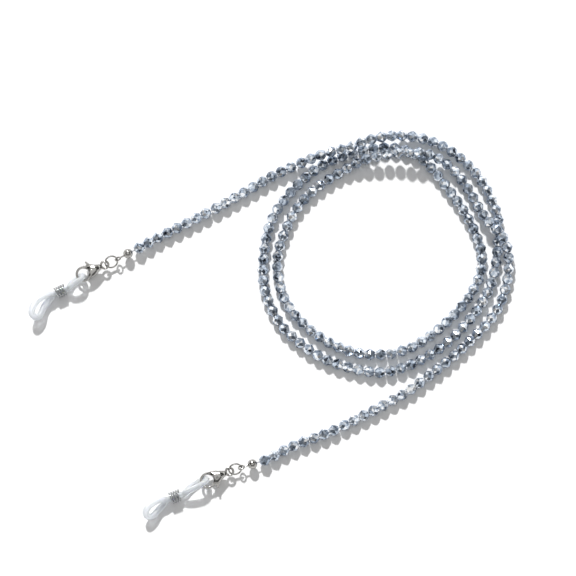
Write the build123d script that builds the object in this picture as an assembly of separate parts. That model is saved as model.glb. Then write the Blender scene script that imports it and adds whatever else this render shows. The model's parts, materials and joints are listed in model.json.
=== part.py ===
from build123d import *
import math
import os

# Beaded eyeglass retainer strap, laid out on a table, in millimetres, +Z up.
# One long string of faceted crystal beads is wound two and a half turns into a coil, and its two
# ends, a and b, carry the same fittings: a clamshell bead tip, a jump ring, a lobster clasp and a
# silicone temple loop closed by a sliding wire coil.
os.makedirs("parts", exist_ok=True)

# ---------------------------------------------------------------- driving dimensions
BEAD_RADIUS = 2.0                   # over the girdle
BEAD_LENGTH = 3.45                  # along the thread
BEAD_TABLE_RADIUS = 1.05            # flat octagon round each mouth of the bore
BEAD_CROWN_RADIUS = 1.74            # ring of facet corners between table and girdle
BEAD_BORE_RADIUS = 0.4
BEAD_SIDES = 8
BEAD_PITCH = 3.75
HINGE_GAP = 0.25                    # extra room between the two beads at a bend of the tail
BEAD_TURN = 137.5                   # degrees from one bead's facets to the next one's

THREAD_RADIUS = 0.225
THREAD_CUT = 0.16                   # the thread's pieces stop short of each other at a bend

TIP_RADIUS = 1.65                   # clamshell bead tip
TIP_WALL = 0.35
TIP_SEAM = 0.22
TIP_LOOP_RADIUS = 0.95              # centreline of its hanging loop
TIP_WIRE_RADIUS = 0.28
TIP_REACH = 4.0                     # from the clamshell's centre to the loop's centre
TIP_HINGE_SHARE = 0.7               # the seam stops this far towards the thread hole
CRIMP_RADIUS = 0.7
CRIMP_LENGTH = 1.1
CRIMP_CLEARANCE = 0.01
THREAD_TAG = 0.15                   # thread left past the crimp

RING_RADIUS = 2.2                   # jump ring, centreline
RING_WIRE_RADIUS = 0.28
RING_SPLIT = 0.08

HOOK_RADIUS = 2.35                  # round opening of the clasp, centreline of its hook
HOOK_WIRE_RADIUS = 0.45
CLASP_REACH = 8.0                   # hook's centre to eyelet's centre
HOOK_ARC = (-60, -232)              # degrees: where the bent wire starts, and how far it goes round
EYELET_RADIUS = 1.3
EYELET_WIRE_RADIUS = 0.4
CLASP_THICKNESS = 2.2
CLASP_ROUNDING = 0.4
OPENING_INSET = 0.04                # the body's opening stands that far back from the bent wire
NECK_EXTRA = 0.05                   # the plate's thin ends are that much thicker than the bent wire
PIVOT = (3.3, 0.55)                 # rivet of the lever, from the hook's centre
RIVET_RADIUS = 0.35
RIVET_HEAD_RADIUS = 0.55
RIVET_HEAD_HEIGHT = 0.15
RUNNING_CLEARANCE = 0.02
SLOT_MIDDLE = (3.2, 1.25)           # of the lever's slot through the body, from the hook's centre
SLOT_LENGTH = 4.4
SLOT_WIDTH = 4.0
SLOT_HALF = 0.6
LEVER_HALF = 0.5
LEVER_INSET = 0.05                  # the lever's inner curve stands that far back from the bent wire
LEVER_END_ARC = 3.2                 # the lever's tip ends on this arc round its rivet
LEVER_END_GAP = 0.1
MOUTH_LENGTH = 2.2                  # of bent wire that may be cut away to clear the lever's tip
LEVER_HUB_RADIUS = 0.85
SPRING_POCKET_RADIUS = 0.97
SPRING_RADIUS = 0.55                # centreline of the lever's torsion spring
SPRING_WIRE_RADIUS = 0.08
SPRING_TURNS = 2
SPRING_LEG = 0.7
SPRING_LOW, SPRING_HIGH = 0.14, 0.45

HARDWARE_HEIGHT = 3.0               # middle plane of clasp, ring and clamshell above the table

BAND_RADIUS = 0.95                  # silicone strand of the temple loop
STRAND_OFFSET = 1.0                 # from the coil's axis to each strand where it leaves the waist
WAIST_RADIUS = 1.45                 # both strands squeezed together inside the wire coil
WAIST_HALF = 3.0                    # half the straight stretch that the coil slides on
WAIST_OVERLAP = 0.4                 # the squeezed stretch runs that far in between the strands
COIL_WIRE_RADIUS = 0.26
COIL_INNER_RADIUS = 1.6
COIL_PITCH = 0.85
COIL_TURNS = 4.0

CORD_ARC_SHARE = 0.45               # an arc takes this share of the shorter of its two runs
BAND_ARC_SHARE = 0.49

# ---------------------------------------------------------------- route of the string
# From the clamshell at end a, along tail a, two and a half turns clockwise, to the clamshell at end b.
BALL_A = Vector(-50.4, 24.0, HARDWARE_HEIGHT)
BALL_B = Vector(-7.0, -49.6, HARDWARE_HEIGHT)
ROUTE = [
    (-46.5, 26.1, 2.7), (-40.0, 29.9, 2.0), (-33.4, 33.2, 2.0), (-26.4, 36.9, 2.0),
    (-19.7, 40.3, 2.0), (-13.6, 43.8, 2.0), (-7.3, 47.5, 2.0), (-1.0, 51.4, 2.0),
    (5.2, 54.4, 2.1), (10.8, 56.7, 2.8), (15.7, 58.3, 4.9), (20.2, 59.6, 6.0),
    (24.4, 60.3, 6.3), (28.2, 61.5, 6.2), (32.4, 63.6, 5.6), (39.3, 65.4, 4.8),
    (46.3, 66.1, 3.0), (53.6, 65.0, 2.0), (60.9, 61.8, 2.0), (66.8, 57.1, 2.0),
    (72.0, 51.6, 2.0), (75.5, 45.2, 2.0), (78.0, 38.9, 2.0), (78.8, 33.9, 2.0),
    (78.3, 28.6, 2.0), (78.0, 23.3, 2.0), (76.9, 17.0, 2.0), (74.8, 10.6, 2.0),
    (71.2, 4.6, 2.0), (66.1, -1.8, 2.0), (59.9, -7.8, 2.0), (53.2, -12.2, 2.0),
    (45.6, -15.9, 2.0), (37.2, -18.0, 2.0), (29.6, -16.8, 2.0), (21.9, -14.7, 2.0),
    (15.3, -11.7, 2.0), (9.4, -7.4, 2.0), (3.8, -2.7, 2.0), (0.0, 3.4, 2.0),
    (-2.6, 9.9, 2.0), (-3.7, 17.0, 2.0), (-3.1, 24.7, 2.0), (-2.1, 31.8, 2.0),
    (0.7, 38.9, 2.0), (5.2, 44.9, 2.0), (10.4, 50.5, 2.0), (16.4, 55.3, 2.0),
    (23.7, 58.7, 2.0), (31.0, 60.8, 2.0), (37.9, 62.0, 2.0), (44.2, 61.7, 2.0),
    (50.5, 59.4, 2.0), (55.3, 54.8, 2.0), (59.2, 49.8, 2.0), (64.0, 43.3, 2.0),
    (67.9, 37.1, 2.0), (71.0, 30.4, 2.0), (72.9, 23.7, 2.0), (72.2, 16.6, 2.0),
    (68.9, 9.9, 2.0), (64.4, 4.2, 2.0), (59.2, -1.1, 2.0), (53.6, -5.7, 2.0),
    (47.0, -9.5, 2.0), (39.7, -11.3, 2.0), (32.4, -11.5, 2.0), (25.1, -9.9, 2.0),
    (17.7, -6.4, 2.0), (11.5, -1.6, 2.0), (6.1, 4.1, 2.0), (2.8, 10.6, 2.0),
    (1.4, 17.7, 2.0), (1.7, 25.1, 2.0), (4.2, 32.2, 2.0), (7.3, 38.9, 2.0),
    (11.8, 44.7, 2.0), (17.4, 49.3, 2.0), (23.7, 53.2, 2.0), (29.9, 56.6, 3.5),
    (35.8, 58.2, 4.9), (41.4, 59.0, 5.0), (46.6, 59.4, 6.1), (51.2, 59.2, 6.5),
    (55.7, 58.3, 5.6), (59.9, 56.5, 3.4), (64.0, 53.0, 2.1), (68.6, 46.5, 2.0),
    (71.3, 41.0, 2.3), (73.4, 37.1, 3.6), (75.9, 33.7, 5.6), (79.0, 30.6, 6.4),
    (81.1, 26.9, 5.2), (82.0, 21.9, 3.2), (81.8, 16.6, 2.1), (80.6, 11.0, 2.0),
    (78.5, 5.3, 2.0), (74.8, -0.1, 2.0), (70.3, -4.6, 2.0), (65.1, -9.7, 2.0),
    (59.2, -14.7, 2.0), (53.2, -19.4, 2.0), (47.3, -23.9, 2.0), (41.1, -27.4, 2.0),
    (34.5, -31.1, 2.0), (27.5, -34.5, 2.0), (21.2, -37.8, 2.0), (14.3, -40.5, 2.0),
    (7.3, -42.9, 2.0), (0.7, -46.5, 2.0), (-3.0, -48.4, 2.7),
]

# Beads counted from an end: bead 0 spins alone, the tail bends after beads 7 and 16.
OUTER_BEND = 7
INNER_BEND = 16
COIL_GROUPS = 12

# ---------------------------------------------------------------- how each end lies
# Headings on the table, in degrees, run from the temple loop towards the beads. turned_over is for
# the clasp whose lever lies to the right of that line. ring_tilt is how many degrees the jump ring's
# plane stands up from the table.
# A bight is where the band doubles back: (x, y, z, half width, tilt), with the tilt of its two
# strands from upright in degrees, the upper one leaning to the left of the heading. A station is the
# same where the two strands pass between the coil and a bight.
ENDS = {
    "a": dict(
        ball=BALL_A, bead=ROUTE[0], roll=0, ring_heading=25, ring_slack=0.3, ring_tilt=40,
        clasp_heading=24, eyelet_slack=0.3, turned_over=False,
        hook_bight=(-67.5, 15.0, 3.0, 2.0, -25), hook_stations=[(-70.2, 13.0, 2.7, 1.7, -22)],
        waist=(-73.7, 10.8, 2.3), waist_heading=25,
        free_stations=[(-78.2, 8.4, 2.5, 1.4, 45), (-80.8, 6.5, 3.0, 1.8, 52)],
        free_bight=(-81.8, 3.4, 3.9, 1.95, 55),
    ),
    "b": dict(
        ball=BALL_B, bead=ROUTE[-1], roll=80, ring_heading=16, ring_slack=-0.05, ring_tilt=45,
        clasp_heading=22.5, eyelet_slack=-0.05, turned_over=True,
        hook_bight=(-24.5, -55.85, 3.0, 2.1, -25), hook_stations=[(-28.3, -58.0, 2.7, 1.8, -22)],
        waist=(-33.5, -60.8, 2.3), waist_heading=20,
        free_stations=[(-38.2, -62.8, 2.5, 1.6, 45), (-40.4, -64.2, 2.8, 1.9, 50)],
        free_bight=(-41.8, -66.0, 3.4, 1.9, 52),
    ),
}


def heading(degrees):
    return Vector(math.cos(math.radians(degrees)), math.sin(math.radians(degrees)), 0)


def on_table(vector):
    """Unit vector along the table."""
    return Vector(vector.X, vector.Y, 0).normalized()


def arc_radii(points, share):
    """A tangent arc for each corner, as large as that share of the shorter of its two runs allows."""
    radii = []
    for before, here, after in zip(points, points[1:], points[2:]):
        turn = (here - before).get_angle(after - here)
        shorter = min((here - before).length, (after - here).length)
        radii.append(share * shorter / math.tan(math.radians(turn / 2)))
    return radii


def tube(path, radius):
    """A round bar along a wire."""
    start = Plane(origin=path @ 0, z_dir=path % 0)
    return sweep(start * Circle(radius), path=path)


def bar(start, end, radius):
    """A straight round bar between two points."""
    axis = end - start
    solid = Cylinder(radius, axis.length, align=(Align.CENTER, Align.CENTER, Align.MIN))
    return Plane(origin=start, z_dir=axis) * solid


def plate(points, half_height):
    """A flat plate of that outline, as far above the middle plane as below it."""
    return extrude(make_face(Polyline(*points, close=True)), amount=half_height, both=True)


def save(node, solids):
    solids = solids if isinstance(solids, list) else [solids]
    solids = [solid for shape in solids for solid in shape.solids()]
    shape = solids[0] if len(solids) == 1 else Compound(solids)
    shape.label = node
    export_step(shape, f"parts/{node}.step")


# ---------------------------------------------------------------- string
def faceted_bead():
    """Octagonal table, eight crown triangles, eight kites and eight girdle triangles each way."""
    step = 360 / BEAD_SIDES
    table_z = BEAD_LENGTH / 2
    # the kite's four corners lie in one plane when the crown ring stands at this height
    crown_reach = BEAD_CROWN_RADIUS * math.cos(math.radians(step / 2))
    crown_z = table_z * (BEAD_RADIUS - crown_reach) / (BEAD_RADIUS - BEAD_TABLE_RADIUS)

    def ring(radius, z, offset):
        angles = [math.radians(step * (k + offset)) for k in range(BEAD_SIDES)]
        return [Vector(radius * math.cos(a), radius * math.sin(a), z) for a in angles]

    girdle = ring(BEAD_RADIUS, 0, 0)
    faces = []
    for up in (1, -1):
        table = ring(BEAD_TABLE_RADIUS, up * table_z, 0)
        crown = ring(BEAD_CROWN_RADIUS, up * crown_z, 0.5)
        outlines = [table]
        for k in range(BEAD_SIDES):
            after = (k + 1) % BEAD_SIDES
            outlines.append([table[k], table[after], crown[k]])
            outlines.append([table[k], crown[k - 1], girdle[k], crown[k]])
            outlines.append([crown[k], girdle[k], girdle[after]])
        faces += [Face(Wire.make_polygon(outline, close=True)) for outline in outlines]
    crystal = Solid(Shell(faces))
    return crystal - Cylinder(BEAD_BORE_RADIUS, 2 * BEAD_LENGTH)


def string_path():
    inward_a = (Vector(*ROUTE[0]) - BALL_A).normalized()
    inward_b = (Vector(*ROUTE[-1]) - BALL_B).normalized()
    end_a = BALL_A - inward_a * (CRIMP_LENGTH / 2 + THREAD_TAG)
    end_b = BALL_B - inward_b * (CRIMP_LENGTH / 2 + THREAD_TAG)
    points = [end_a, *(Vector(*p) for p in ROUTE), end_b]
    radii = arc_radii(points, CORD_ARC_SHARE)
    print("string: smallest arc", round(min(radii), 1), "largest", round(max(radii), 1))
    return FilletPolyline(*points, radius=radii)


path = string_path()
length = path.length
first = (Vector(*ROUTE[0]) - (path @ 0)).length
beaded = length - 2 * first - 4 * HINGE_GAP
bead_count = round(beaded / BEAD_PITCH) + 1
pitch = beaded / (bead_count - 1)
bends = [OUTER_BEND, INNER_BEND, bead_count - 2 - INNER_BEND, bead_count - 2 - OUTER_BEND]
print("string: length", round(length, 1), "beads", bead_count, "pitch", round(pitch, 3))


def bead_place(index):
    """Distance of a bead's centre along the string."""
    return first + pitch * index + HINGE_GAP * sum(1 for bend in bends if bend < index)


def bend_place(bend):
    """Distance of the middle of the gap after a bead where the tail bends."""
    return (bead_place(bend) + bead_place(bend + 1)) / 2


crystal = faceted_bead()


def bead(index):
    u = bead_place(index) / length
    place = Plane(origin=path @ u, x_dir=(0, 0, 1), z_dir=path % u)
    return place * Rot(0, 0, BEAD_TURN * index) * crystal


def beads(start, stop):
    return [bead(index) for index in range(start, stop)]


cuts = [0.0, *(bend_place(bend) for bend in bends), length]
names = ["tail_a_outer", "tail_a_inner", "coil", "tail_b_inner", "tail_b_outer"]
for name, start, stop in zip(names, cuts, cuts[1:]):
    start = start + THREAD_CUT / 2 if start > 0 else start
    stop = stop - THREAD_CUT / 2 if stop < length else stop
    piece = path.trim(start / length, stop / length)
    thread = tube(piece, THREAD_RADIUS)
    section = math.pi * THREAD_RADIUS**2
    ratio = thread.volume / (section * piece.length)
    print(name, "thread", round(piece.length, 2), "volume ratio", round(ratio, 4))
    save(f"thread_{name}", thread)

save("end_bead_a", bead(0))
save("beads_tail_a_outer", beads(1, OUTER_BEND + 1))
save("beads_tail_a_inner", beads(OUTER_BEND + 1, INNER_BEND + 1))
coil_first, coil_last = INNER_BEND + 1, bead_count - 2 - INNER_BEND
for group in range(COIL_GROUPS):
    in_coil = coil_last - coil_first + 1
    start = coil_first + group * in_coil // COIL_GROUPS
    stop = coil_first + (group + 1) * in_coil // COIL_GROUPS
    save(f"beads_coil_{group + 1:02d}", beads(start, stop))
save("beads_tail_b_inner", beads(bends[2] + 1, bends[3] + 1))
save("beads_tail_b_outer", beads(bends[3] + 1, bead_count - 1))
save("end_bead_b", bead(bead_count - 1))


# ---------------------------------------------------------------- fittings of one end
def tilted(direction, degrees):
    """Unit vector square to a level direction, that many degrees up from level on its left."""
    left = Vector(0, 0, 1).cross(direction)
    return left * math.cos(math.radians(degrees)) + Vector(0, 0, 1) * math.sin(math.radians(degrees))


def hoop(centre, axis, radius, wire_radius):
    return Plane(origin=centre, z_dir=axis) * Torus(radius, wire_radius)


def bead_tip(ball, direction, roll, ring_tilt):
    """Clamshell round the crimp, hinged beside the thread hole, with its hanging loop behind."""
    shell = Sphere(TIP_RADIUS) - Sphere(TIP_RADIUS - TIP_WALL)
    shell -= bar(Vector(0, 0, 0), Vector(2 * TIP_RADIUS, 0, 0), BEAD_BORE_RADIUS)
    seam = Box(2 * TIP_RADIUS, 3 * TIP_RADIUS, TIP_SEAM)
    shell -= Pos(-(1 - TIP_HINGE_SHARE) * TIP_RADIUS, 0, 0) * seam
    shell = Plane(origin=ball, x_dir=direction, z_dir=(0, 0, 1)) * Rot(roll, 0, 0) * shell
    loop_centre = ball - direction * TIP_REACH
    loop = hoop(loop_centre, tilted(direction, ring_tilt), TIP_LOOP_RADIUS, TIP_WIRE_RADIUS)
    stem_inside = TIP_RADIUS - TIP_WALL / 2
    stem = bar(loop_centre + direction * TIP_LOOP_RADIUS, ball - direction * stem_inside, TIP_WIRE_RADIUS)
    return shell + stem + loop, loop_centre


def crimp(ball, direction):
    bore = Cylinder(THREAD_RADIUS + CRIMP_CLEARANCE, CRIMP_LENGTH)
    return Plane(origin=ball, z_dir=direction) * (Cylinder(CRIMP_RADIUS, CRIMP_LENGTH) - bore)


def jump_ring(centre, direction, ring_tilt):
    """Split ring, leaning so that it links the level eyelet to the bead tip's loop."""
    normal = direction.cross(tilted(direction, ring_tilt))
    split = Pos(0, RING_RADIUS, 0) * Box(RING_SPLIT, 3 * RING_WIRE_RADIUS, 3 * RING_WIRE_RADIUS)
    ring = Torus(RING_RADIUS, RING_WIRE_RADIUS) - split
    return Plane(origin=centre, x_dir=direction, z_dir=normal) * ring


def clasp_body():
    """Lobster body: round hook, cheeks either side of the lever's slot, and the eyelet."""
    outline = [(0.3, -2.75), (3.4, -2.2), (6.9, -0.7), (6.9, 0.7), (5.0, 1.35), (3.1, 2.4), (1.2, 1.5)]
    half = CLASP_THICKNESS / 2
    neck = HOOK_WIRE_RADIUS + NECK_EXTRA
    profile = [(0.2, -neck), (2.2, -half), (4.6, -half), (7.0, -neck)]
    profile += [(x, -z) for x, z in reversed(profile)]
    side = Rot(90, 0, 0) * plate(profile, 2 * HOOK_RADIUS)
    body = plate(outline, half) & side
    body = fillet(body.edges(), CLASP_ROUNDING)
    body -= Cylinder(HOOK_RADIUS - HOOK_WIRE_RADIUS + OPENING_INSET, 2 * CLASP_THICKNESS)
    hook = tube(Wire(CenterArc((0, 0), HOOK_RADIUS, *HOOK_ARC)), HOOK_WIRE_RADIUS)
    mouth = Pos(*PIVOT) * Cylinder(LEVER_END_ARC + LEVER_END_GAP, CLASP_THICKNESS)
    mouth &= Pos(MOUTH_LENGTH / 2, HOOK_RADIUS) * Box(MOUTH_LENGTH, 4 * HOOK_WIRE_RADIUS, CLASP_THICKNESS)
    eyelet = Pos(CLASP_REACH, 0) * Torus(EYELET_RADIUS, EYELET_WIRE_RADIUS)
    slot = Pos(*SLOT_MIDDLE) * Box(SLOT_LENGTH, SLOT_WIDTH, 2 * SLOT_HALF)
    pin_hole = Pos(*PIVOT) * Cylinder(RIVET_RADIUS, 2 * CLASP_THICKNESS)
    return (body + (hook - mouth) + eyelet) - slot - pin_hole


def clasp_lever():
    """Thumb lever: curved arm that closes the hook, thumb tab, and hub on the rivet."""
    inner, outer = HOOK_RADIUS - HOOK_WIRE_RADIUS + LEVER_INSET, HOOK_RADIUS + HOOK_WIRE_RADIUS
    sector = [(0, 0), (5.0, 1.6), (3.0, 5.0), (0.2, 5.0)]
    arm = (Circle(outer) - Circle(inner)) & make_face(Polyline(*sector, close=True))
    arm &= Pos(*PIVOT) * Circle(LEVER_END_ARC)
    tab = [(1.5, 2.1), (2.2, 2.7), (2.0, 3.55), (2.5, 3.75)]
    tab += [(3.1, 2.6), (4.1, 0.6), (3.3, -0.2), (2.1, 0.9)]
    web = make_face(Polyline(*tab, close=True)) - Circle(inner)
    flat = arm + web + Pos(*PIVOT) * Circle(LEVER_HUB_RADIUS)
    lever = extrude(flat, amount=LEVER_HALF, both=True)
    lever -= Pos(*PIVOT) * Cylinder(RIVET_RADIUS + RUNNING_CLEARANCE, CLASP_THICKNESS)
    pocket = Cylinder(SPRING_POCKET_RADIUS, SLOT_HALF, align=(Align.CENTER, Align.CENTER, Align.MIN))
    return lever - Pos(*PIVOT) * pocket


def lever_spring():
    """Torsion spring round the rivet: two turns and two legs."""
    height = SPRING_HIGH - SPRING_LOW
    helix = Pos(0, 0, SPRING_LOW) * Helix(pitch=height / SPRING_TURNS, height=height, radius=SPRING_RADIUS)
    first_leg = Edge.make_line((helix @ 0) - (helix % 0) * SPRING_LEG, helix @ 0)
    last_leg = Edge.make_line(helix @ 1, (helix @ 1) + (helix % 1) * SPRING_LEG)
    return Pos(*PIVOT) * tube(Wire([first_leg, *helix.edges(), last_leg]), SPRING_WIRE_RADIUS)


def clasp_rivet():
    rivet = Cylinder(RIVET_RADIUS, CLASP_THICKNESS)
    for side in (1, -1):
        middle = side * (CLASP_THICKNESS + RIVET_HEAD_HEIGHT) / 2
        rivet += Pos(0, 0, middle) * Cylinder(RIVET_HEAD_RADIUS, RIVET_HEAD_HEIGHT)
    return Pos(*PIVOT) * rivet


def band(end):
    """Silicone band, one closed ring: through the hook, squeezed by the coil, and free beyond it."""
    along = heading(end["waist_heading"])
    middle = Vector(*end["waist"])
    up = Vector(0, 0, 1)

    def strand(station, forward, side):
        x, y, z, half_width, tilt = station
        across = tilted(forward, 90 - tilt)
        return Vector(x, y, z) + across * half_width * side

    def loop(sign, stations, bight):
        """The band on one side of the coil, from the waist round the bight and back."""
        mouth = middle + along * sign * WAIST_HALF
        centres = [mouth, *(Vector(*s[:3]) for s in stations), Vector(*bight[:3])]
        over, under = [mouth + up * STRAND_OFFSET], [mouth - up * STRAND_OFFSET]
        for index, station in enumerate(stations, 1):
            forward = on_table(centres[index + 1] - centres[index - 1]) * sign
            over.append(strand(station, forward, 1))
            under.append(strand(station, forward, -1))
        forward = on_table(centres[-1] - centres[-2])
        reach = forward * bight[3]
        over.append(strand(bight, forward * sign, 1) + reach)
        under.append(strand(bight, forward * sign, -1) + reach)
        points = over + under[::-1]
        radii = arc_radii(points, BAND_ARC_SHARE)
        path = FilletPolyline(*points, radius=radii)
        print("band", round(path.length, 1), "smallest arc", round(min(radii), 2))
        return tube(path, BAND_RADIUS)

    reach = along * (WAIST_HALF + WAIST_OVERLAP)
    waist = bar(middle - reach, middle + reach, WAIST_RADIUS)
    hook_loop = loop(1, end["hook_stations"], end["hook_bight"])
    return waist + hook_loop + loop(-1, end["free_stations"], end["free_bight"])


def band_coil(end):
    radius = COIL_INNER_RADIUS + COIL_WIRE_RADIUS
    height = COIL_PITCH * COIL_TURNS
    coil = tube(Helix(pitch=COIL_PITCH, height=height, radius=radius), COIL_WIRE_RADIUS)
    place = Plane(origin=Vector(*end["waist"]), z_dir=heading(end["waist_heading"]))
    return place * Pos(0, 0, -height / 2) * coil


for name, end in ENDS.items():
    inward = Vector(*end["bead"]) - end["ball"]
    tip, loop_centre = bead_tip(end["ball"], on_table(inward), end["roll"], end["ring_tilt"])
    save(f"bead_tip_{name}", tip)
    save(f"crimp_{name}", crimp(end["ball"], inward))
    ring_direction = heading(end["ring_heading"])
    ring_centre = loop_centre - ring_direction * (RING_RADIUS + end["ring_slack"])
    save(f"jump_ring_{name}", jump_ring(ring_centre, ring_direction, end["ring_tilt"]))
    clasp_direction = heading(end["clasp_heading"])
    eyelet = ring_centre - clasp_direction * (RING_RADIUS + end["eyelet_slack"])
    hook = eyelet - clasp_direction * CLASP_REACH
    place = Plane(origin=hook, x_dir=clasp_direction, z_dir=(0, 0, 1))
    if end["turned_over"]:
        place = place * Rot(180, 0, 0)
    save(f"clasp_body_{name}", place * clasp_body())
    save(f"clasp_lever_{name}", place * clasp_lever())
    save(f"lever_spring_{name}", place * lever_spring())
    save(f"clasp_rivet_{name}", place * clasp_rivet())
    save(f"temple_band_{name}", band(end))
    save(f"band_coil_{name}", band_coil(end))
    print(name, "loop", loop_centre, "ring", ring_centre, "eyelet", eyelet, "hook", hook)
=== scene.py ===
"""The looks of the beaded eyeglass strap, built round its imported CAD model, in metres."""
import json
import math

import bpy
from mathutils import Matrix, Vector


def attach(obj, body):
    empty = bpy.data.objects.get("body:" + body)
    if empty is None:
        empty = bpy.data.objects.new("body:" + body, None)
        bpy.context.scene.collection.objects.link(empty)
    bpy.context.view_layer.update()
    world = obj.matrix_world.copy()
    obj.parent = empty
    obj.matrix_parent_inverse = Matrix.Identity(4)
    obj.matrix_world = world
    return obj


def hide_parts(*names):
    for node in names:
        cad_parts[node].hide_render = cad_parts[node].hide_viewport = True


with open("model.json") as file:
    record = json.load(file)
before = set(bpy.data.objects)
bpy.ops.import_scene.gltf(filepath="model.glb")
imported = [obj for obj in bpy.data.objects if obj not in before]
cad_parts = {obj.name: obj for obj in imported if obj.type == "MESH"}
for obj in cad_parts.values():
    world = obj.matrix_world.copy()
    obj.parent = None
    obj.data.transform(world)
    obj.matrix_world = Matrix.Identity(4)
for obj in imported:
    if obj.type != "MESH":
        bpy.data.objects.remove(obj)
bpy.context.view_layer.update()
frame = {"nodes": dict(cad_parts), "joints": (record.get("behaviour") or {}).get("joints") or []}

MM = 0.001
UP = Vector((0, 0, 1))
ENDS = ("a", "b")

# ---------------------------------------------------------------- route of the string
# Control points of the thread, from the crimp of end a, round the coil, to the crimp of end b.
# It is cut at the four bends of its tails, which leaves about 0.16 mm between one stretch and the next.
TAIL_A_OUTER = [
    (-0.05099, 0.02377, 0.00304), (-0.0465, 0.0261, 0.0027), (-0.0400, 0.0299, 0.0020),
    (-0.0334, 0.0332, 0.0020), (-0.0264, 0.0369, 0.0020), (-0.021575, 0.039352, 0.0020),
]
TAIL_A_INNER = [
    (-0.021435, 0.039427, 0.0020), (-0.0197, 0.0403, 0.0020), (-0.0136, 0.0438, 0.0020),
    (-0.0073, 0.0475, 0.0020), (-0.0010, 0.0514, 0.0020), (0.0052, 0.0544, 0.0021),
    (0.008136, 0.055604, 0.002466),
]
COIL = [
    (0.008278, 0.055665, 0.002486), (0.0108, 0.0567, 0.0028), (0.0157, 0.0583, 0.0049),
    (0.0202, 0.0596, 0.0060), (0.0244, 0.0603, 0.0063), (0.0282, 0.0615, 0.0062),
    (0.0324, 0.0636, 0.0056), (0.0393, 0.0654, 0.0048), (0.0463, 0.0661, 0.0030),
    (0.0536, 0.0650, 0.0020), (0.0609, 0.0618, 0.0020), (0.0668, 0.0571, 0.0020),
    (0.0720, 0.0516, 0.0020), (0.0755, 0.0452, 0.0020), (0.0780, 0.0389, 0.0020),
    (0.0788, 0.0339, 0.0020), (0.0783, 0.0286, 0.0020), (0.0780, 0.0233, 0.0020),
    (0.0769, 0.0170, 0.0020), (0.0748, 0.0106, 0.0020), (0.0712, 0.0046, 0.0020),
    (0.0661, -0.0018, 0.0020), (0.0599, -0.0078, 0.0020), (0.0532, -0.0122, 0.0020),
    (0.0456, -0.0159, 0.0020), (0.0372, -0.0180, 0.0020), (0.0296, -0.0168, 0.0020),
    (0.0219, -0.0147, 0.0020), (0.0153, -0.0117, 0.0020), (0.0094, -0.0074, 0.0020),
    (0.0038, -0.0027, 0.0020), (0.0000, 0.0034, 0.0020), (-0.0026, 0.0099, 0.0020),
    (-0.0037, 0.0170, 0.0020), (-0.0031, 0.0247, 0.0020), (-0.0021, 0.0318, 0.0020),
    (0.0007, 0.0389, 0.0020), (0.0052, 0.0449, 0.0020), (0.0104, 0.0505, 0.0020),
    (0.0164, 0.0553, 0.0020), (0.0237, 0.0587, 0.0020), (0.0310, 0.0608, 0.0020),
    (0.0379, 0.0620, 0.0020), (0.0442, 0.0617, 0.0020), (0.0505, 0.0594, 0.0020),
    (0.0553, 0.0548, 0.0020), (0.0592, 0.0498, 0.0020), (0.0640, 0.0433, 0.0020),
    (0.0679, 0.0371, 0.0020), (0.0710, 0.0304, 0.0020), (0.0729, 0.0237, 0.0020),
    (0.0722, 0.0166, 0.0020), (0.0689, 0.0099, 0.0020), (0.0644, 0.0042, 0.0020),
    (0.0592, -0.0011, 0.0020), (0.0536, -0.0057, 0.0020), (0.0470, -0.0095, 0.0020),
    (0.0397, -0.0113, 0.0020), (0.0324, -0.0115, 0.0020), (0.0251, -0.0099, 0.0020),
    (0.0177, -0.0064, 0.0020), (0.0115, -0.0016, 0.0020), (0.0061, 0.0041, 0.0020),
    (0.0028, 0.0106, 0.0020), (0.0014, 0.0177, 0.0020), (0.0017, 0.0251, 0.0020),
    (0.0042, 0.0322, 0.0020), (0.0073, 0.0389, 0.0020), (0.0118, 0.0447, 0.0020),
    (0.0174, 0.0493, 0.0020), (0.0237, 0.0532, 0.0020), (0.0299, 0.0566, 0.0035),
    (0.0358, 0.0582, 0.0049), (0.0414, 0.0590, 0.0050), (0.0466, 0.0594, 0.0061),
    (0.0512, 0.0592, 0.0065), (0.0557, 0.0583, 0.0056), (0.0599, 0.0565, 0.0034),
    (0.0640, 0.0530, 0.0021), (0.0686, 0.0465, 0.0020), (0.0713, 0.0410, 0.0023),
    (0.0734, 0.0371, 0.0036), (0.0759, 0.0337, 0.0056), (0.0790, 0.0306, 0.0064),
    (0.0811, 0.0269, 0.0052), (0.0820, 0.0219, 0.0032), (0.0818, 0.0166, 0.0021),
    (0.0806, 0.0110, 0.0020), (0.0785, 0.0053, 0.0020), (0.0748, -0.0001, 0.0020),
    (0.0703, -0.0046, 0.0020), (0.0651, -0.0097, 0.0020), (0.0592, -0.0147, 0.0020),
    (0.0532, -0.0194, 0.0020), (0.052278, -0.020094, 0.0020),
]
TAIL_B_INNER = [
    (0.052158, -0.020195, 0.0020), (0.0473, -0.0239, 0.0020), (0.0411, -0.0274, 0.0020),
    (0.0345, -0.0311, 0.0020), (0.0275, -0.0345, 0.0020), (0.022891, -0.036895, 0.0020),
]
TAIL_B_OUTER = [
    (0.02275, -0.036971, 0.0020), (0.0212, -0.0378, 0.0020), (0.0143, -0.0405, 0.0020),
    (0.0073, -0.0429, 0.0020), (0.0007, -0.0465, 0.0020), (-0.0030, -0.0484, 0.0027),
    (-0.00767, -0.0498, 0.00305),
]
THREAD_DIAMETER = 0.45 * MM
# (body that the stretch rides on, its control points, its length, how it lies)
STRETCHES = (
    ("tail_a_outer", TAIL_A_OUTER, 0.0332, "loose"),
    ("tail_a_inner", TAIL_A_INNER, 0.0338, "loose"),
    ("coil", COIL, 0.6286, "coiled"),
    ("tail_b_inner", TAIL_B_INNER, 0.0338, "loose"),
    ("tail_b_outer", TAIL_B_OUTER, 0.0332, "loose"),
)


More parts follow.
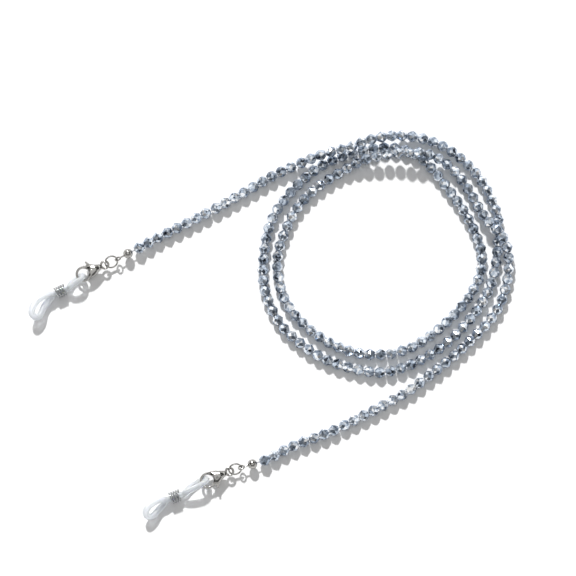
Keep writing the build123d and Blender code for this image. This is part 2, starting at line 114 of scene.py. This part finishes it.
# ---------------------------------------------------------------- small helpers
def add_object(name, data):
    """A new object in the scene, which holds that data."""
    obj = bpy.data.objects.new(name, data)
    bpy.context.collection.objects.link(obj)
    return obj


def paint(obj, material):
    """The object in that one material."""
    obj.data.materials.clear()
    obj.data.materials.append(material)


def shade_smooth(mesh):
    """Soft shading over the whole mesh."""
    for polygon in mesh.polygons:
        polygon.use_smooth = True


def smooth_step(low, high, value):
    """0 up to low, 1 from high on, and an eased climb between them."""
    share = min(1, max(0, (value - low) / (high - low)))
    return share * share * (3 - 2 * share)


class Nodes:
    """The node tree of a material or of the world, with short calls to add nodes and links."""

    def __init__(self, owner):
        self.owner = owner
        owner.use_nodes = True
        self.tree = owner.node_tree

    def add(self, kind, inputs=None, **settings):
        """A new node with those settings, and a value or a link for each named input."""
        node = self.tree.nodes.new(kind)
        for key, value in settings.items():
            setattr(node, key, value)
        for key, value in (inputs or {}).items():
            self.put(value, node.inputs[key])
        return node

    def put(self, value, socket):
        """Links another node's socket to this one, or sets a plain value on it."""
        if isinstance(value, bpy.types.NodeSocket):
            self.tree.links.new(value, socket)
        else:
            socket.default_value = value

    def shade(self, **inputs):
        """Inputs of the material's shader, with _ for each space in their names."""
        shader = self.tree.nodes["Principled BSDF"]
        for key, value in inputs.items():
            self.put(value, shader.inputs[key.replace("_", " ")])

    def math(self, operation, first, second):
        return self.add("ShaderNodeMath", {0: first, 1: second}, operation=operation).outputs[0]

    def vary(self, factor, swing, base):
        """base where factor is 0, and base plus swing where it is 1."""
        return self.math("ADD", self.math("MULTIPLY", factor, swing), base)

    def ramp(self, factor, stops, interpolation="LINEAR"):
        """A colour for each value of factor, from stops of (position, colour)."""
        node = self.add("ShaderNodeValToRGB", {"Fac": factor})
        node.color_ramp.interpolation = interpolation
        elements = node.color_ramp.elements
        while len(elements) < len(stops):
            elements.new(0.5)
        for element, (position, colour) in zip(elements, stops):
            element.position = position
            element.color = (*colour, 1)
        return node.outputs["Color"]

    def noise(self, scale, detail):
        """Noise fixed to the object, with scale in cells per metre."""
        inputs = {"Scale": scale, "Detail": detail}
        inputs["Vector"] = self.add("ShaderNodeTexCoord").outputs["Object"]
        return self.add("ShaderNodeTexNoise", inputs).outputs["Fac"]

    def openness(self, distance):
        """1 in the open, and less where other surfaces stand within that distance; the materials use it to
        paint shade into their colours.
        """
        return self.add("ShaderNodeAmbientOcclusion", {"Distance": distance}).outputs["AO"]

    def bump(self, height, strength, distance):
        """Relief on the material's shader."""
        inputs = {"Height": height, "Strength": strength, "Distance": distance}
        self.shade(Normal=self.add("ShaderNodeBump", inputs).outputs["Normal"])


# ---------------------------------------------------------------- materials
# Noise scales, in cells per metre.
SMUDGE_SCALE = 1400.0                  # on the beads
PLY_SCALE = 9000.0                     # on the thread
WEAR_SCALE = 420.0                     # on the metals
CAST_GRAIN_SCALE = 2600.0
DRAWN_GRAIN_SCALE = 6000.0
CLOUD_SCALE = 330.0                    # in the silicone
BLOOM_SCALE = 5200.0                   # on the silicone
SPECK_SCALE = 90.0                     # on the table

FACET_CELLS = 23.0                     # scales a facet's direction, so that it falls in its own cell
PATCH_SCALE = 950.0
FACET_SHARE = 0.55                     # of the facet colour, plating and painted glints, that comes from the facet
PATCH_SHARE = 0.45                     # and from the painted patches of light and shade seen through the glass behind it
# From dark to white: the plating's silvery and smoky tones, with painted glints and painted light seen
# through the glass towards the white end.
PLATING_AND_PAINTED_GLINTS = (
    (0.10, (0.03, 0.037, 0.052)), (0.22, (0.16, 0.20, 0.26)), (0.38, (0.34, 0.40, 0.49)),
    (0.58, (0.52, 0.59, 0.68)), (0.72, (0.80, 0.85, 0.91)), (0.84, (1.0, 1.0, 1.0)),
)
# The silicone's colours: its milky tones, and at the dark end painted shade.
MILKY_AND_PAINTED_SHADE = ((0.15, (0.35, 0.37, 0.40)), (0.45, (0.80, 0.83, 0.87)), (0.85, (0.90, 0.93, 0.97)))
# how far the painted shade in the metals' corners reaches
METAL_PAINTED_SHADE_REACH = 0.6 * MM
SILICONE_PAINTED_SHADE_REACH = 1.1 * MM


def crystal_material():
    """Half-plated cut glass: each facet is silvery or smoky by chance and by the patches in it, and the
    brightest are painted glints and painted light seen through the glass.
    """
    nodes = Nodes(bpy.data.materials.new("half_plated_crystal"))
    place = nodes.add("ShaderNodeTexCoord")
    cells = (FACET_CELLS, FACET_CELLS, FACET_CELLS)
    scaled = nodes.add("ShaderNodeVectorMath", {0: place.outputs["Normal"], 1: cells}, operation="MULTIPLY")
    whole = nodes.add("ShaderNodeVectorMath", {0: scaled.outputs[0]}, operation="FLOOR").outputs[0]
    chance = nodes.add("ShaderNodeTexWhiteNoise", {"Vector": whole}, noise_dimensions="3D").outputs["Value"]
    # painted light seen through the glass: facets of the far side, painted as small flat patches
    inner = nodes.add("ShaderNodeTexVoronoi", {"Vector": place.outputs["Object"], "Scale": PATCH_SCALE})
    patch = nodes.add("ShaderNodeSeparateColor", {0: inner.outputs["Color"]}).outputs[0]
    # facet colour: partly the plating's random tone, partly painted glints and painted refracted light
    tone = nodes.math("ADD", nodes.math("MULTIPLY", chance, FACET_SHARE),
                      nodes.math("MULTIPLY", patch, PATCH_SHARE))
    smudge = nodes.noise(SMUDGE_SCALE, 2.0)
    nodes.shade(Base_Color=nodes.ramp(tone, PLATING_AND_PAINTED_GLINTS), Metallic=0.7, IOR=1.56)
    nodes.shade(Roughness=nodes.vary(smudge, 0.08, 0.06))
    nodes.shade(Coat_Weight=0.25, Coat_Roughness=0.03, Specular_Tint=(0.38, 0.44, 0.54, 1))
    return nodes.owner


def thread_material():
    """Grey beading thread, finely uneven."""
    nodes = Nodes(bpy.data.materials.new("beading_thread"))
    plies = nodes.noise(PLY_SCALE, 2.0)
    nodes.shade(Base_Color=nodes.ramp(plies, [(0.3, (0.30, 0.31, 0.34)), (0.7, (0.55, 0.56, 0.60))]))
    nodes.shade(Roughness=0.55, Sheen_Weight=0.3)
    nodes.bump(plies, 0.5, 0.05 * MM)
    return nodes.owner


def metal_material(name, light, dark, roughness, grain_scale):
    """Bright metal: faint unevenness, fine grain, and painted shade that darkens it in the corners."""
    nodes = Nodes(bpy.data.materials.new(name))
    grain = nodes.noise(grain_scale, 4.0)
    wear = nodes.noise(WEAR_SCALE, 3.0)
    # painted shade: darker where other surfaces stand close, times a random wear tone
    tone = nodes.math("MULTIPLY", nodes.openness(METAL_PAINTED_SHADE_REACH), nodes.vary(wear, 0.5, 0.65))
    nodes.shade(Base_Color=nodes.ramp(tone, [(0.25, dark), (0.85, light)]), Metallic=1.0)
    nodes.shade(Roughness=nodes.vary(grain, 0.10, roughness))
    nodes.shade(Specular_Tint=(0.30, 0.30, 0.30, 1))
    nodes.bump(grain, 0.25, 0.03 * MM)
    return nodes.owner


def silicone_material():
    """Milky translucent silicone: light passes a little way in, with clouds inside, bloom outside and
    painted shade where other surfaces stand close.
    """
    nodes = Nodes(bpy.data.materials.new("milky_silicone"))
    cloud = nodes.noise(CLOUD_SCALE, 3.0)
    bloom = nodes.noise(BLOOM_SCALE, 2.0)
    # painted shade: darker where other surfaces stand close, as inside the wire coil, times the clouds in
    # the silicone
    tone = nodes.math("MULTIPLY", nodes.openness(SILICONE_PAINTED_SHADE_REACH), nodes.vary(cloud, 0.5, 0.6))
    nodes.shade(Base_Color=nodes.ramp(tone, MILKY_AND_PAINTED_SHADE))
    nodes.shade(Roughness=nodes.vary(bloom, 0.2, 0.22), IOR=1.41)
    nodes.shade(Subsurface_Weight=0.75, Subsurface_Radius=(1.0, 1.0, 1.1), Subsurface_Scale=1.2 * MM)
    nodes.shade(Transmission_Weight=0.6)
    nodes.bump(bloom, 0.15, 0.02 * MM)
    return nodes.owner


def floor_material():
    """Matt white table top, very slightly uneven in tone."""
    nodes = Nodes(bpy.data.materials.new("white_table"))
    speck = nodes.noise(SPECK_SCALE, 2.0)
    nodes.shade(Base_Color=nodes.ramp(speck, [(0.3, (0.90, 0.90, 0.90)), (0.7, (0.92, 0.92, 0.92))]))
    nodes.shade(Roughness=0.6, Specular_IOR_Level=0.2)
    return nodes.owner


CRYSTAL = crystal_material()
THREAD = thread_material()
# dark is the colour in the deepest painted shade of the corners
NICKEL = metal_material("bright_nickel", light=(0.52, 0.51, 0.49), dark=(0.03, 0.03, 0.03),
                        roughness=0.08, grain_scale=CAST_GRAIN_SCALE)
COIL_WIRE = metal_material("drawn_wire", light=(0.58, 0.59, 0.60), dark=(0.03, 0.03, 0.03),
                           roughness=0.10, grain_scale=DRAWN_GRAIN_SCALE)
SPRING_STEEL = metal_material("spring_steel", light=(0.45, 0.45, 0.47), dark=(0.10, 0.10, 0.11),
                              roughness=0.22, grain_scale=DRAWN_GRAIN_SCALE)
SILICONE = silicone_material()

# ---------------------------------------------------------------- carried-over CAD nodes
# (how the nodes' names start, their material)
CAD_LOOKS = (
    (("beads_", "end_bead_"), CRYSTAL),
    (("bead_tip_", "crimp_", "jump_ring_", "clasp_"), NICKEL),
    (("band_coil_",), COIL_WIRE),
    (("lever_spring_",), SPRING_STEEL),
)


def paint_cad_nodes():
    """A procedural material on every CAD node that stays in view."""
    for name, obj in frame["nodes"].items():
        for starts, material in CAD_LOOKS:
            if name.startswith(starts):
                for slot in obj.material_slots:
                    slot.material = material


# ---------------------------------------------------------------- thread
def thread(name, points, body):
    """One stretch of the thread, as a round cord on a smooth spline."""
    curve = bpy.data.curves.new(name, "CURVE")
    curve.dimensions = "3D"
    curve.bevel_depth = THREAD_DIAMETER / 2
    curve.bevel_resolution = 3
    curve.resolution_u = 12
    curve.use_fill_caps = True
    spline = curve.splines.new("NURBS")
    spline.points.add(len(points) - 1)
    for point, place in zip(spline.points, points):
        point.co = (*place, 1)
    spline.order_u = 3
    spline.use_endpoint_u = True
    obj = add_object(name, curve)
    paint(obj, THREAD)
    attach(obj, body)
    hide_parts("thread_" + body)


def threads():
    """Every stretch of the thread."""
    for body, points, length, lay in STRETCHES:
        thread("string_" + body, points, body)


# ---------------------------------------------------------------- silicone temple bands
# Millimetres. A bight is where the band doubles back and a station where its two strands pass side
# by side: (x, y, z, half width, tilt from upright in degrees). heading is the waist's, in degrees.
BANDS = {
    "a": dict(
        hook_bight=(-67.5, 15.0, 3.0, 2.0, -25), hook_stations=[(-70.2, 13.0, 2.7, 1.7, -22)],
        waist=(-73.7, 10.8, 2.3), heading=25,
        free_stations=[(-78.2, 8.4, 2.5, 1.4, 45), (-80.8, 6.5, 3.0, 1.8, 52)],
        free_bight=(-81.8, 3.4, 3.9, 1.95, 55),
    ),
    "b": dict(
        hook_bight=(-24.5, -55.85, 3.0, 2.1, -25), hook_stations=[(-28.3, -58.0, 2.7, 1.8, -22)],
        waist=(-33.5, -60.8, 2.3), heading=20,
        free_stations=[(-38.2, -62.8, 2.5, 1.6, 45), (-40.4, -64.2, 2.8, 1.9, 50)],
        free_bight=(-41.8, -66.0, 3.4, 1.9, 52),
    ),
}
BAND_RADIUS = 0.95                     # of the loop through the hook
FREE_RADIUS = 1.1                      # of the loop that grips the temple, clear of the hook
WAIST_RADIUS = 0.72
WAIST_OFFSET = 0.74                    # from the middle of the waist to each of its two strands
WAIST_REACHES = (0.4, 1.4, 2.3, 3.2)   # along which the two strands lie pressed together
SWELL = (2.5, 3.8)                     # over which a strand grows back to its free thickness
WAIST_FLATTENING = 0.16
BIGHT_STEPS = 4                        # from one control point to the next, round half a circle
SPAN_STEPS = 24                        # fine samples of the spline in each of its spans
BAND_STEPS = 220
BAND_SIDES = 28


def level(direction):
    """That direction laid level, at length 1."""
    return Vector((direction.x, direction.y, 0)).normalized()


def waist_direction(layout):
    """From the waist towards the hook."""
    heading = math.radians(layout["heading"])
    return Vector((math.cos(heading), math.sin(heading), 0))


def strand_offset(forward, half_width, tilt):
    """From the middle of the band to its upper strand; a positive tilt leans it left of forward."""
    left = UP.cross(forward)
    angle = math.radians(tilt)
    return (UP * math.cos(angle) + left * math.sin(angle)) * half_width


def bight_points(centre, forward, offset):
    """Control points round a half circle, from the upper strand to the lower one."""
    turn = math.pi / BIGHT_STEPS
    # a uniform cubic spline runs this much inside control points on a circle, so they are spread
    spread = 3 / (2 + math.cos(turn))
    bend = []
    for step in range(BIGHT_STEPS + 1):
        angle = step * turn
        ray = offset * math.cos(angle) + forward * offset.length * math.sin(angle)
        bend.append(centre + ray * spread)
    return bend


def band_half(layout, side):
    """Control points of one side of the waist: out along the upper strand and back along the lower."""
    along = waist_direction(layout)
    waist = Vector(layout["waist"])
    stations, bight = layout["free_stations"], layout["free_bight"]
    if side > 0:
        stations, bight = layout["hook_stations"], layout["hook_bight"]
    centres = [waist, *(Vector(station[:3]) for station in stations), Vector(bight[:3])]
    over, under = [], []
    for reach in WAIST_REACHES:
        place = waist + along * side * reach
        over.append(place + UP * WAIST_OFFSET)
        under.append(place - UP * WAIST_OFFSET)
    for before, here, after, station in zip(centres, centres[1:], centres[2:], stations):
        offset = strand_offset(level(after - before) * side, *station[3:])
        over.append(here + offset)
        under.append(here - offset)
    forward = level(centres[-1] - centres[-2])
    offset = strand_offset(forward * side, *bight[3:])
    return over + bight_points(centres[-1], forward, offset) + under[::-1]


def loop_spline(points):
    """Fine samples of the closed uniform cubic spline that has those control points."""
    fine = []
    for index in range(len(points)):
        a, b, c, d = (points[(index + k - 1) % len(points)] for k in range(4))
        for step in range(SPAN_STEPS):
            t = step / SPAN_STEPS
            weights = ((1 - t) ** 3, 3 * t**3 - 6 * t**2 + 4, -3 * t**3 + 3 * t**2 + 3 * t + 1, t**3)
            fine.append((a * weights[0] + b * weights[1] + c * weights[2] + d * weights[3]) / 6)
    return fine


def even_samples(fine, steps):
    """Points at even distances round that closed line."""
    lengths = [0.0]
    for here, after in zip(fine, fine[1:] + fine[:1]):
        lengths.append(lengths[-1] + (after - here).length)
    samples, index = [], 0
    for step in range(steps):
        target = lengths[-1] * step / steps
        while lengths[index + 1] < target:
            index += 1
        share = (target - lengths[index]) / (lengths[index + 1] - lengths[index])
        samples.append(fine[index].lerp(fine[(index + 1) % len(fine)], share))
    return samples


def loop_frames(samples):
    """A pair of cross directions at each sample, turned as little as possible, that closes up."""
    count = len(samples)
    tangents = [(samples[(k + 1) % count] - samples[k - 1]).normalized() for k in range(count)]
    normal = tangents[0].orthogonal().normalized()
    normals = [normal]
    for before, here in zip(tangents, tangents[1:] + tangents[:1]):
        normal = before.rotation_difference(here) @ normal
        normals.append(normal)
    gap = normals[-1].angle(normals[0])
    if normals[-1].cross(normals[0]).dot(tangents[0]) < 0:
        gap = -gap
    pairs = []
    for index, tangent in enumerate(tangents):
        turned = Matrix.Rotation(gap * index / count, 3, tangent) @ normals[index]
        pairs.append((turned, tangent.cross(turned)))
    return pairs


def band_vertices(layout, samples):
    """Rings of vertices round the samples: circles in the loops, flattened where the waist is pressed."""
    waist, along = Vector(layout["waist"]), waist_direction(layout)
    vertices = []
    for place, (first, second) in zip(samples, loop_frames(samples)):
        reach = (place - waist).dot(along)
        squeeze = 1 - smooth_step(*SWELL, abs(reach))
        full = BAND_RADIUS if reach > 0 else FREE_RADIUS
        radius = full + (WAIST_RADIUS - full) * squeeze
        inward = (waist + along * reach - place).normalized() if squeeze > 0 else UP
        for side in range(BAND_SIDES):
            angle = 2 * math.pi * side / BAND_SIDES
            ray = (first * math.cos(angle) + second * math.sin(angle)) * radius
            depth = ray.dot(inward)
            across = ray - inward * depth
            vertices.append((place + across * (1 + WAIST_FLATTENING * squeeze) + inward * depth) * MM)
    return vertices


def temple_band(name, layout):
    """Closed silicone band: round in its loops, pressed flat against itself inside the wire coil."""
    # the free side is run through backwards: out along the lower strand, home along the upper
    points = band_half(layout, 1) + band_half(layout, -1)[::-1]
    vertices = band_vertices(layout, even_samples(loop_spline(points), BAND_STEPS))
    faces = []
    for step in range(BAND_STEPS):
        here, after = step * BAND_SIDES, (step + 1) % BAND_STEPS * BAND_SIDES
        for side in range(BAND_SIDES):
            beside = (side + 1) % BAND_SIDES
            faces.append((here + side, here + beside, after + beside, after + side))
    mesh = bpy.data.meshes.new(name)
    mesh.from_pydata(vertices, [], faces)
    mesh.validate()
    shade_smooth(mesh)
    return add_object(name, mesh)


def temple_bands():
    """Both ends' silicone bands, in place of their CAD solids."""
    for end in ENDS:
        obj = temple_band("silicone_band_" + end, BANDS[end])
        paint(obj, SILICONE)
        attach(obj, "band_" + end)
        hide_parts("temple_band_" + end)


# ---------------------------------------------------------------- clasp bodies
CLASP_VOXEL = 0.085 * MM
SOFTEN_FACTOR = 0.5
SOFTEN_ROUNDS = 4
CLASP_EDGE = 0.62                      # of the CAD thickness, at the body's edges
CLASP_RISE = 0.75                      # of the CAD thickness, added to that at its middle
# Millimetres from the hook's centre towards the eyelet, over which the crown comes in and goes out.
CROWN_STARTS = (1.2, 3.0)
CROWN_ENDS = (5.6, 6.8)
WIDTH_BINS = 24                        # between the hook's centre and the eyelet's


def joint_place(name):
    """Where that joint's axis passes."""
    return next(Vector(joint["pos_m"]) for joint in frame["joints"] if joint["name"] == name)


def between(values, spot):
    """The value at an index with a fraction, in line between its neighbours."""
    index, share = int(spot), spot % 1
    return values[index] * (1 - share) + values[index + 1] * share


def softened_copy(name, source):
    """The source mesh rebuilt in small even faces, with every edge rounded a little."""
    mesh = bpy.data.meshes.new(name)
    vertices = [vertex.co.copy() for vertex in source.vertices]
    mesh.from_pydata(vertices, [], [list(polygon.vertices) for polygon in source.polygons])
    obj = add_object(name, mesh)
    remesh = obj.modifiers.new("remesh", "REMESH")
    remesh.mode = "VOXEL"
    remesh.voxel_size = CLASP_VOXEL
    soften = obj.modifiers.new("soften", "SMOOTH")
    soften.factor = SOFTEN_FACTOR
    soften.iterations = SOFTEN_ROUNDS
    depsgraph = bpy.context.evaluated_depsgraph_get()
    obj.data = bpy.data.meshes.new_from_object(obj.evaluated_get(depsgraph))
    obj.modifiers.clear()
    return obj


def crown(vertices, hook, eyelet):
    """Thickens the body along its middle line and thins it towards its edges."""
    axis = (eyelet - hook).normalized()
    across = UP.cross(axis)
    reach = (eyelet - hook).length
    places = [((vertex.co - hook).dot(axis), (vertex.co - hook).dot(across)) for vertex in vertices]
    lows, highs = [0.0] * (WIDTH_BINS + 1), [0.0] * (WIDTH_BINS + 1)
    for along, side in places:
        index = min(WIDTH_BINS, max(0, int(WIDTH_BINS * along / reach)))
        lows[index] = min(lows[index], side)
        highs[index] = max(highs[index], side)
    last = WIDTH_BINS - 1e-6           # a hair short, so that one more bin follows it
    for vertex, (along, side) in zip(vertices, places):
        spot = min(last, max(0, WIDTH_BINS * along / reach - 0.5))
        low, high = between(lows, spot), between(highs, spot)
        off = (side - (low + high) / 2) / ((high - low) / 2)
        weight = smooth_step(CROWN_STARTS[0] * MM, CROWN_STARTS[1] * MM, along)
        weight *= 1 - smooth_step(CROWN_ENDS[0] * MM, CROWN_ENDS[1] * MM, along)
        scale = CLASP_EDGE + CLASP_RISE * (1 - min(1, off * off))
        vertex.co.z = hook.z + (vertex.co.z - hook.z) * (1 + (scale - 1) * weight)


def clasp_shell(end):
    """Cast clasp body, softened all over and crowned on both faces, in place of its CAD solid."""
    obj = softened_copy("clasp_shell_" + end, frame["nodes"]["clasp_body_" + end].data)
    crown(obj.data.vertices, joint_place("band_%s_swing" % end), joint_place("clasp_%s_swing" % end))
    shade_smooth(obj.data)
    paint(obj, NICKEL)
    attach(obj, "clasp_" + end)
    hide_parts("clasp_body_" + end)


# ---------------------------------------------------------------- stage
VIEW_MIDDLE = Vector((0.00522, 0.01237, 0.0))
VIEW_WIDTH = 0.2004                    # of the table, across the picture
VIEW_ELEVATION = 80.0
CAMERA_DISTANCE = 1.1
CAMERA_NEAR = 0.01
SENSOR_WIDTH = 36.0
KEY_STRENGTH = 3.6
KEY_SPREAD = 4.0                       # degrees, which sets how soft the shadows' edges are
KEY_ELEVATION = 42.0
KEY_HEADING = (0.2, -0.98, 0)
# (height, brightness) of the studio's dark and bright bands; height is 0.5 at the horizon, 1 overhead
SKY_BANDS = (
    (0.50, 1.0), (0.54, 1.0), (0.56, 0.03), (0.63, 0.02), (0.67, 1.2),
    (0.72, 1.2), (0.76, 0.03), (0.88, 0.05), (0.93, 0.7), (1.0, 0.75),
)
SKY_STRENGTH = 1.0
FLOOR_REACH = 3.0


def camera():
    """A long lens, nearly straight above the strap."""
    data = bpy.data.cameras.new("camera")
    data.sensor_width = SENSOR_WIDTH
    data.lens = SENSOR_WIDTH * CAMERA_DISTANCE / VIEW_WIDTH
    data.clip_start = CAMERA_NEAR
    obj = add_object("camera", data)
    elevation = math.radians(VIEW_ELEVATION)
    back = Vector((0, -math.cos(elevation), math.sin(elevation)))
    obj.location = VIEW_MIDDLE + back * CAMERA_DISTANCE
    obj.rotation_euler = (math.pi / 2 - elevation, 0, 0)
    bpy.context.scene.camera = obj


def key_light():
    """A sun from behind the table, which throws the shadows towards the near edge."""
    sun = bpy.data.lights.new("key", "SUN")
    sun.energy = KEY_STRENGTH
    sun.angle = math.radians(KEY_SPREAD)
    key = add_object("key", sun)
    elevation = math.radians(KEY_ELEVATION)
    shine = Vector(KEY_HEADING).normalized() * math.cos(elevation) - UP * math.sin(elevation)
    key.rotation_euler = shine.to_track_quat("-Z", "Y").to_euler()


def studio_sky():
    """Soft light all round, in level bands that the facets and the metal mirror."""
    world = bpy.data.worlds.new("studio")
    bpy.context.scene.world = world
    nodes = Nodes(world)
    place = nodes.add("ShaderNodeTexCoord").outputs["Generated"]
    rise = nodes.add("ShaderNodeSeparateXYZ", {0: place}).outputs["Z"]
    height = nodes.add("ShaderNodeMath", {0: rise, 1: 0.5, 2: 0.5}, operation="MULTIPLY_ADD").outputs[0]
    greys = [(stop, (brightness, brightness, brightness)) for stop, brightness in SKY_BANDS]
    background = nodes.tree.nodes["Background"]
    nodes.put(nodes.ramp(height, greys, "EASE"), background.inputs["Color"])
    nodes.put(SKY_STRENGTH, background.inputs["Strength"])


def floor():
    """A plain square table top under everything."""
    mesh = bpy.data.meshes.new("floor")
    corners = [(x * FLOOR_REACH, y * FLOOR_REACH, 0) for x, y in ((-1, -1), (1, -1), (1, 1), (-1, 1))]
    mesh.from_pydata(corners, [], [(0, 1, 2, 3)])
    obj = add_object("floor", mesh)
    paint(obj, floor_material())


camera()
threads()
paint_cad_nodes()
temple_bands()
for end in ENDS:
    clasp_shell(end)
key_light()
studio_sky()
floor()
bpy.context.scene.view_settings.view_transform = "Standard"
